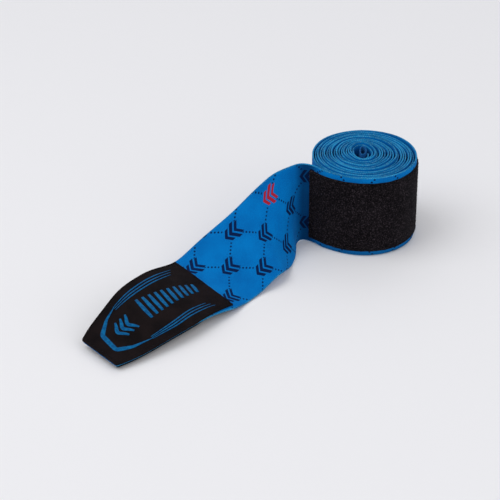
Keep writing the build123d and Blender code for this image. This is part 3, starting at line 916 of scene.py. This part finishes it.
def pile_mesh(count):
    """Short bent fibres standing off the patch."""
    margin = 0.4
    parts = []
    for _ in range(count):
        run = rng.uniform(margin, PATCH_L - margin)
        z = rng.uniform(PATCH_LOW + margin, PATCH_HIGH - margin)
        root, normal = patch_at(run, z, -0.12)
        sideways = np.array([-normal[1], normal[0], 0.0])
        angle = rng.uniform(0, 2 * pi)
        lean = sideways * cos(angle) + np.array([0, 0, 1.0]) * sin(angle)
        lean = lean * rng.uniform(0.25, 0.6)
        height = rng.uniform(0.26, 0.48)
        radius = rng.uniform(0.055, 0.085)
        side = np.cross(normal, unit(lean))
        # share of height, share of lean, share of radius
        for rise, reach, thick in ((0, 0, 1.0), (0.7, 0.3, 1.0), (1, 0.75, 0.9),
                                   (0.72, 1.15, 0.5)):
            other = normal if rise == 0 else normal * 0.6 + lean * 0.4
            centre = root + normal * height * rise + lean * reach
            parts.append(ring(centre, side, other, radius * thick, 3))
    fibres = np.array(parts).reshape(count, -1, 3)
    return make_mesh("loop_patch_pile", *joined(fibres, tube_faces(4, 3)), [M_PILE])


def patch_rows():
    """Stitch places along the patch's four edges."""
    def lengthwise(z):
        inset = 2.2
        count = int((PATCH_L - 2 * inset) / STITCH_PITCH) + 1
        for run in np.linspace(inset, PATCH_L - inset, count):
            point, normal = patch_at(run, z, -0.05)
            yield point, (-normal[1], normal[0], 0), normal

    def upright(run):
        inset = 4
        count = int((PATCH_HIGH - PATCH_LOW - 2 * inset) / STITCH_PITCH) + 1
        for z in np.linspace(PATCH_LOW + inset, PATCH_HIGH - inset, count):
            point, normal = patch_at(run, z, -0.05)
            yield point, (0, 0, 1), normal

    return {"bottom": lengthwise(PATCH_LOW + PATCH_ROW_INSET),
            "top": lengthwise(PATCH_HIGH - PATCH_ROW_INSET),
            "start": upright(PATCH_END_INSET),
            "end": upright(PATCH_L - PATCH_END_INSET)}


attach(patch_mesh(), "roll", "loop_patch")
pile = pile_mesh(6500)
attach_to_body(pile, "roll")
for row_name, row in patch_rows().items():
    attach(stitches("stitch_row_patch_" + row_name, row, STITCH_L, 0.21, M_THREAD),
           "roll", "loop_patch_stitch_" + row_name)

# ------------------------------------------------------------ closure tab --
SIDE_ROW_INSET, SEAM_ROW = 1.7, 1.5       # stitch rows from the sides and start


def puff(along, across):
    """Height of the cover's face above its nominal height."""
    across = np.asarray(across, float)
    edge = np.minimum(np.minimum(across + cover_low(along), cover_high(along) - across),
                      COVER_END - along)
    from_row = edge - SIDE_ROW_INSET
    height = 0.12 * (1 - np.exp(-(np.clip(from_row, 0, 99) / 4.0)))
    height = height - groove(from_row, depth=0.20, width=0.5)
    height = height - groove(along - SEAM_ROW, depth=0.18, width=0.5)
    # slow dents
    return (height + 0.06 * np.sin(0.33 * along + 0.21 * across)
            + 0.04 * np.sin(0.9 * across - 0.4 * along))


def cover_point(along, across, off):
    return on_strip(along, across, COVER_OVER + puff(along, across) + off)


def hook_field():
    """Rows of small hooks under the tab, bent alternately to and fro."""
    row_pitch, hook_pitch = 1.5, 1.45
    parts = []
    for along in np.arange(3.0, TAB_L - 2.4, row_pitch):
        middle, across_dir, normal, run_dir = frame_at(along)
        down = -normal
        bent = run_dir * (1 if int(round(along / row_pitch)) % 2 else -1)
        # drop, reach and radius, then the stem's direction there
        stem = ((0, 0, 0.15, down), (0.42, 0, 0.11, down),
                (0.66, 0.16, 0.11, down * 0.6 + bent * 0.8), (0.60, 0.40, 0.10, bent),
                (0.40, 0.47, 0.06, -down * 0.7 + bent * 0.7))
        for place in np.arange(-(cover_low(along) - 2.6), cover_high(along) - 2.2, hook_pitch):
            across = place + rng.uniform(-0.05, 0.05)
            root = middle + across_dir * across + normal * (HOOK_FACE - 0.5)
            for drop, reach, radius, direction in stem:
                parts.append(ring(root + down * drop + bent * reach, across_dir,
                                  unit(np.cross(direction, across_dir)), radius, 4))
    hooks = np.array(parts).reshape(-1, 20, 3)
    return make_mesh("hook_patch_hooks", *joined(hooks, tube_faces(5, 4)), [M_HOOKS])


def cover_place(along, across, step_along, step_across):
    """Stitch place on the cover, pointing along the given step."""
    sink = -0.02
    point = cover_point(along, across, sink)
    ahead = cover_point(along + step_along * 0.5, across + step_across * 0.5, sink)
    return point, ahead - point, frame_at(along)[2]


def tab_rows():
    """Stitch places down both sides, across the tip and across the seam."""
    rows = {"sides": [], "tip": [], "seam": []}
    for side, half in ((1, cover_high), (-1, cover_low)):
        for along in stations(3.4, TAB_L - 4.5, STITCH_PITCH):
            slope = (half(along + 0.5) - half(along - 0.5)) * side
            rows["sides"].append(
                cover_place(along, side * (half(along) - SIDE_ROW_INSET), 1.0, slope))
    for across in stations(-TIP_HALF + 3.2, TIP_HALF - 3.2, STITCH_PITCH):
        rows["tip"].append(cover_place(TAB_L - 2.2, across, 0.0, 1.0))
    for across in stations(-cover_low(SEAM_ROW) + 2.6, cover_high(SEAM_ROW) - 2.6, STITCH_PITCH):
        rows["seam"].append(cover_place(SEAM_ROW, across, 0.0, 1.0))
    return rows


cover = ribbon(
    "tab_cover_skin",
    graded_stations((0.0, 3.0, 0.3), (3.0, TAB_L - 3.5, 0.9), (TAB_L - 3.5, COVER_END, 0.35)),
    cover_low, cover_high, COVER_UNDER, COVER_OVER, 72, [M_COVER], lift=puff)
attach(cover, "tab", "tab_cover")
hook_base = ribbon(
    "hook_patch_base", stations(1.0, TAB_L - 0.8, 1.0),
    lambda along: cover_low(along) - 0.3, lambda along: cover_high(along) - 0.3,
    HOOK_FACE - 0.55, HOOK_FACE, 30, [M_HOOK], round_points=2)
attach(hook_base, "tab", "hook_patch")
hooks = hook_field()
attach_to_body(hooks, "tab")
for row_name, row in tab_rows().items():
    attach(stitches("stitch_row_tab_" + row_name, row, STITCH_L, 0.20, M_THREAD),
           "tab", "tab_stitch_" + row_name)

# ------------------------------------------------------------ transfers ----
# Film section: share of the line's width, height above the cover.
FILM_SECTION = [(-0.5, -0.10), (-0.5, 0.09), (-0.42, 0.14), (0.0, 0.15),
                (0.42, 0.14), (0.5, 0.09), (0.5, -0.10)]


def curved(points, count):
    points = np.array(points, float)
    lengths = run_lengths(points)
    return Spline(lengths, points).at(np.linspace(0, lengths[-1], count))


def cornered(points, reach=1.5, count=70):
    """Polyline with each corner rounded a little, evenly resampled."""
    points = np.array(points, float)
    line = [points[0]]
    for last, corner, following in zip(points, points[1:], points[2:]):
        start = corner + unit(last - corner) * reach
        end = corner + unit(following - corner) * reach
        for t in np.linspace(0, 1, 5):
            line.append((1 - t)**2 * start + 2 * t * (1 - t) * corner + t * t * end)
    line = np.array(line + [points[-1]])
    lengths = run_lengths(line)
    even = np.linspace(0, lengths[-1], count)
    return np.c_[np.interp(even, lengths, line[:, 0]), np.interp(even, lengths, line[:, 1])]


def film(line, widths):
    """Vertices of one film line on the cover, through (along, across) points."""
    width = np.interp(np.linspace(0, 1, len(line)), np.linspace(0, 1, len(widths)), widths)
    direction = unit(np.gradient(line, axis=0))
    sideways = np.stack([-direction[:, 1], direction[:, 0]], 1)
    return np.array([cover_point(*(line[i] + sideways[i] * width[i] * share), height)
                     for i in range(len(line)) for share, height in FILM_SECTION])


def film_object(name, lines, replaced):
    """Film lines, all with the same number of points, as one object."""
    sides = len(FILM_SECTION)
    faces = tube_faces(len(lines[0]) // sides, sides, TURNED)
    attach(make_mesh(name, *joined(lines, faces), [M_FILM]), "tab", replaced)


def keel_lines():
    """One line bent round the tip."""
    corners = [(61.5, 15.4), (70.5, 12.4), (79.4, 6.6), (81.0, -6.2), (73.0, -10.8),
               (60.5, -14.2)]
    return [film(cornered(corners), [0.3, 1.0, 1.9, 2.6, 2.8, 2.8, 2.6, 1.7, 0.8, 0.3])]


# Outermost pinstripe on each side: along, across, and the shift of each to
# the next pinstripe inwards.
PINSTRIPES = [
    [(62.0, 15.6, 0, -1.0), (45.0, 18.0, 0, -1.7), (28.0, 18.2, 0, -1.9), (10.0, 18.6, 2.0, -2.0)],
    [(61.0, -14.4, 0, 0.8), (46.0, -17.0, 0, 1.5), (29.0, -17.6, 0, 1.8), (12.0, -18.8, 2.0, 2.0)],
]


def pinstripe_lines():
    lines = []
    for k in range(3):
        for table in PINSTRIPES:
            table = np.array(table)
            lines.append(film(curved(table[:, :2] + k * table[:, 2:], 40),
                              [0.3, 0.75, 0.7, 0.25]))
    return lines


def chevron_lines():
    """Three chevrons in a row, pointing to the tip."""
    middle, half, sweep = 2.0, 5.6, 3.4
    lines = []
    for k in range(3):
        point = 72.0 - 3.9 * k
        line = [(point - sweep * abs(share), middle + half * share)
                for share in (1, 0.5, 0, -0.5, -1)]
        lines.append(film(curved(line, 20), [1.1, 1.9, 2.3, 1.9, 1.1]))
    return lines


def bar_lines():
    """Ten slanting cross bars that widen towards the tip."""
    lines = []
    for along in np.linspace(10.5, 49.5, 10):
        middle = -1.6 + (along - 8.0) * 0.12
        half = 3.6 + 0.10 * (along - 10.0)
        line = [(along - 1.3, middle + half), (along, middle), (along + 1.3, middle - half)]
        lines.append(film(curved(line, 10), [1.7, 2.5, 1.7]))
    return lines


film_object("film_keel", keel_lines(), "transfer_keel")
film_object("film_pinstripes", pinstripe_lines(), "transfer_stripes")
film_object("film_chevrons", chevron_lines(), "transfer_chevrons")
film_object("film_bars", bar_lines(), "transfer_bars")

# ------------------------------------------------------------ thumb loop ---
LOOP_CENTRE = np.array([-0.8, 7.0])
LOOP_HALF_X, LOOP_HALF_Y, LOOP_T = 1.8, 4.6, 0.7
LOOP_LOW, LOOP_HIGH = 36.4, 48.6
LOOP_GIRTH, LOOP_UV_Z = 17.8, 41  # length round the tape and middle, for its UV
# Tape section: share of its thickness outwards, share of its height.
LOOP_SECTION = np.array([
    (0.5, 0.0), (0.5, 0.25), (0.5, 0.5), (0.5, 0.75), (0.5, 1.0), (0.0, 1.03),
    (-0.5, 1.0), (-0.5, 0.75), (-0.5, 0.5), (-0.5, 0.25), (-0.5, 0.0), (0.0, -0.03)])


def thumb_loop():
    """Upright closed band of tape in the coil's core."""
    count, sides = 56, len(LOOP_SECTION)
    sections, uvs = [], []
    for i in range(count):
        angle = 2 * pi * i / count
        swell = 1 + 0.05 * cos(3 * angle) + 0.04 * sin(2 * angle)
        centre = LOOP_CENTRE + swell * np.array([LOOP_HALF_X * cos(angle),
                                                 LOOP_HALF_Y * sin(angle)])
        outward = unit(np.array([cos(angle) / LOOP_HALF_X, sin(angle) / LOOP_HALF_Y]))
        z = LOOP_LOW + (LOOP_HIGH - LOOP_LOW) * LOOP_SECTION[:, 1] + 0.25 * sin(angle + 0.5)
        sections.append(np.c_[centre + outward * LOOP_SECTION[:, :1] * LOOP_T, z])
        uvs.append(np.c_[np.full(sides, i * LOOP_GIRTH / count), z - LOOP_UV_Z])
    return make_mesh("thumb_loop_tape", np.concatenate(sections),
                     tube_faces(count, sides, TURNED, closed=True), [M_TAPE],
                     np.concatenate(uvs))


def thumb_stitches():
    """Five stitches, one above another, on the back of the loop."""
    x, y = LOOP_CENTRE
    y = y + LOOP_HALF_Y * 0.97 + LOOP_T / 2
    places = [((x, y, 38.2 + 2.1 * k), (1, 0, 0), (0, 1, 0)) for k in range(5)]
    return stitches("thumb_loop_stitches", places, 1.7, 0.18, M_BLUE_THREAD)


attach(thumb_loop(), "loop", "thumb_loop")
attach(thumb_stitches(), "loop", "thumb_loop_tack")

# ------------------------------------------------------------ stage --------
# From here on, lengths are in metres.
scene = bpy.context.scene


def add_floor(half=6.0, drop=0.0002):
    mesh = bpy.data.meshes.new("floor")
    corners = [(-half, -half, 0), (half, -half, 0), (half, half, 0), (-half, half, 0)]
    mesh.from_pydata(corners, [], [(0, 1, 2, 3)])
    obj = bpy.data.objects.new("floor", mesh)
    scene.collection.objects.link(obj)
    obj.location = (0, 0, -drop)
    material = bpy.data.materials.new("floor_paper")
    material.use_nodes = True
    surface = material.node_tree.nodes["Principled BSDF"]
    surface.inputs["Base Color"].default_value = srgb(235, 235, 237)
    surface.inputs["Roughness"].default_value = 0.9
    surface.inputs["Specular IOR Level"].default_value = 0.1
    mesh.materials.append(material)


def add_world(colour, strength):
    world = bpy.data.worlds.new("studio")
    scene.world = world
    world.use_nodes = True
    background = world.node_tree.nodes["Background"]
    background.inputs[0].default_value = colour
    background.inputs[1].default_value = strength


def add_area_light(name, location, target, size, power):
    light = bpy.data.lights.new(name, "AREA")
    light.shape = "SQUARE"
    light.size = size
    light.energy = power
    obj = bpy.data.objects.new(name, light)
    obj.location = location
    obj.rotation_euler = (Vector(target) - Vector(location)).to_track_quat("-Z", "Y").to_euler()
    scene.collection.objects.link(obj)


def add_camera(location, look_down_deg, lens):
    """Camera in front of the coil, facing +Y and tilted down."""
    camera = bpy.data.cameras.new("camera")
    camera.sensor_width = 36.0
    camera.sensor_fit = "HORIZONTAL"
    camera.lens = lens
    camera.clip_start = 0.05
    camera.clip_end = 20.0
    obj = bpy.data.objects.new("camera", camera)
    obj.location = location
    obj.rotation_euler = (radians(90 - look_down_deg), 0, 0)
    scene.collection.objects.link(obj)
    scene.camera = obj


add_floor()
add_world(colour=(0.97, 0.97, 1.0, 1), strength=0.60)
add_area_light("key", location=(-0.75, -0.25, 1.15), target=(-0.05, -0.05, 0.0),
               size=1.1, power=6.6)
add_area_light("fill", location=(0.75, -0.75, 0.85), target=(-0.03, -0.05, 0.02),
               size=1.2, power=4.2)
add_area_light("back", location=(0.1, 1.0, 0.9), target=(-0.03, 0.0, 0.02),
               size=0.9, power=1.6)
add_camera(location=(-0.06630, -1.03014, 0.57023), look_down_deg=29.550, lens=144.0)
scene.view_settings.view_transform = "Standard"
scene.view_settings.look = "None"
scene.view_settings.exposure = 0.0
scene.view_settings.gamma = 1.0
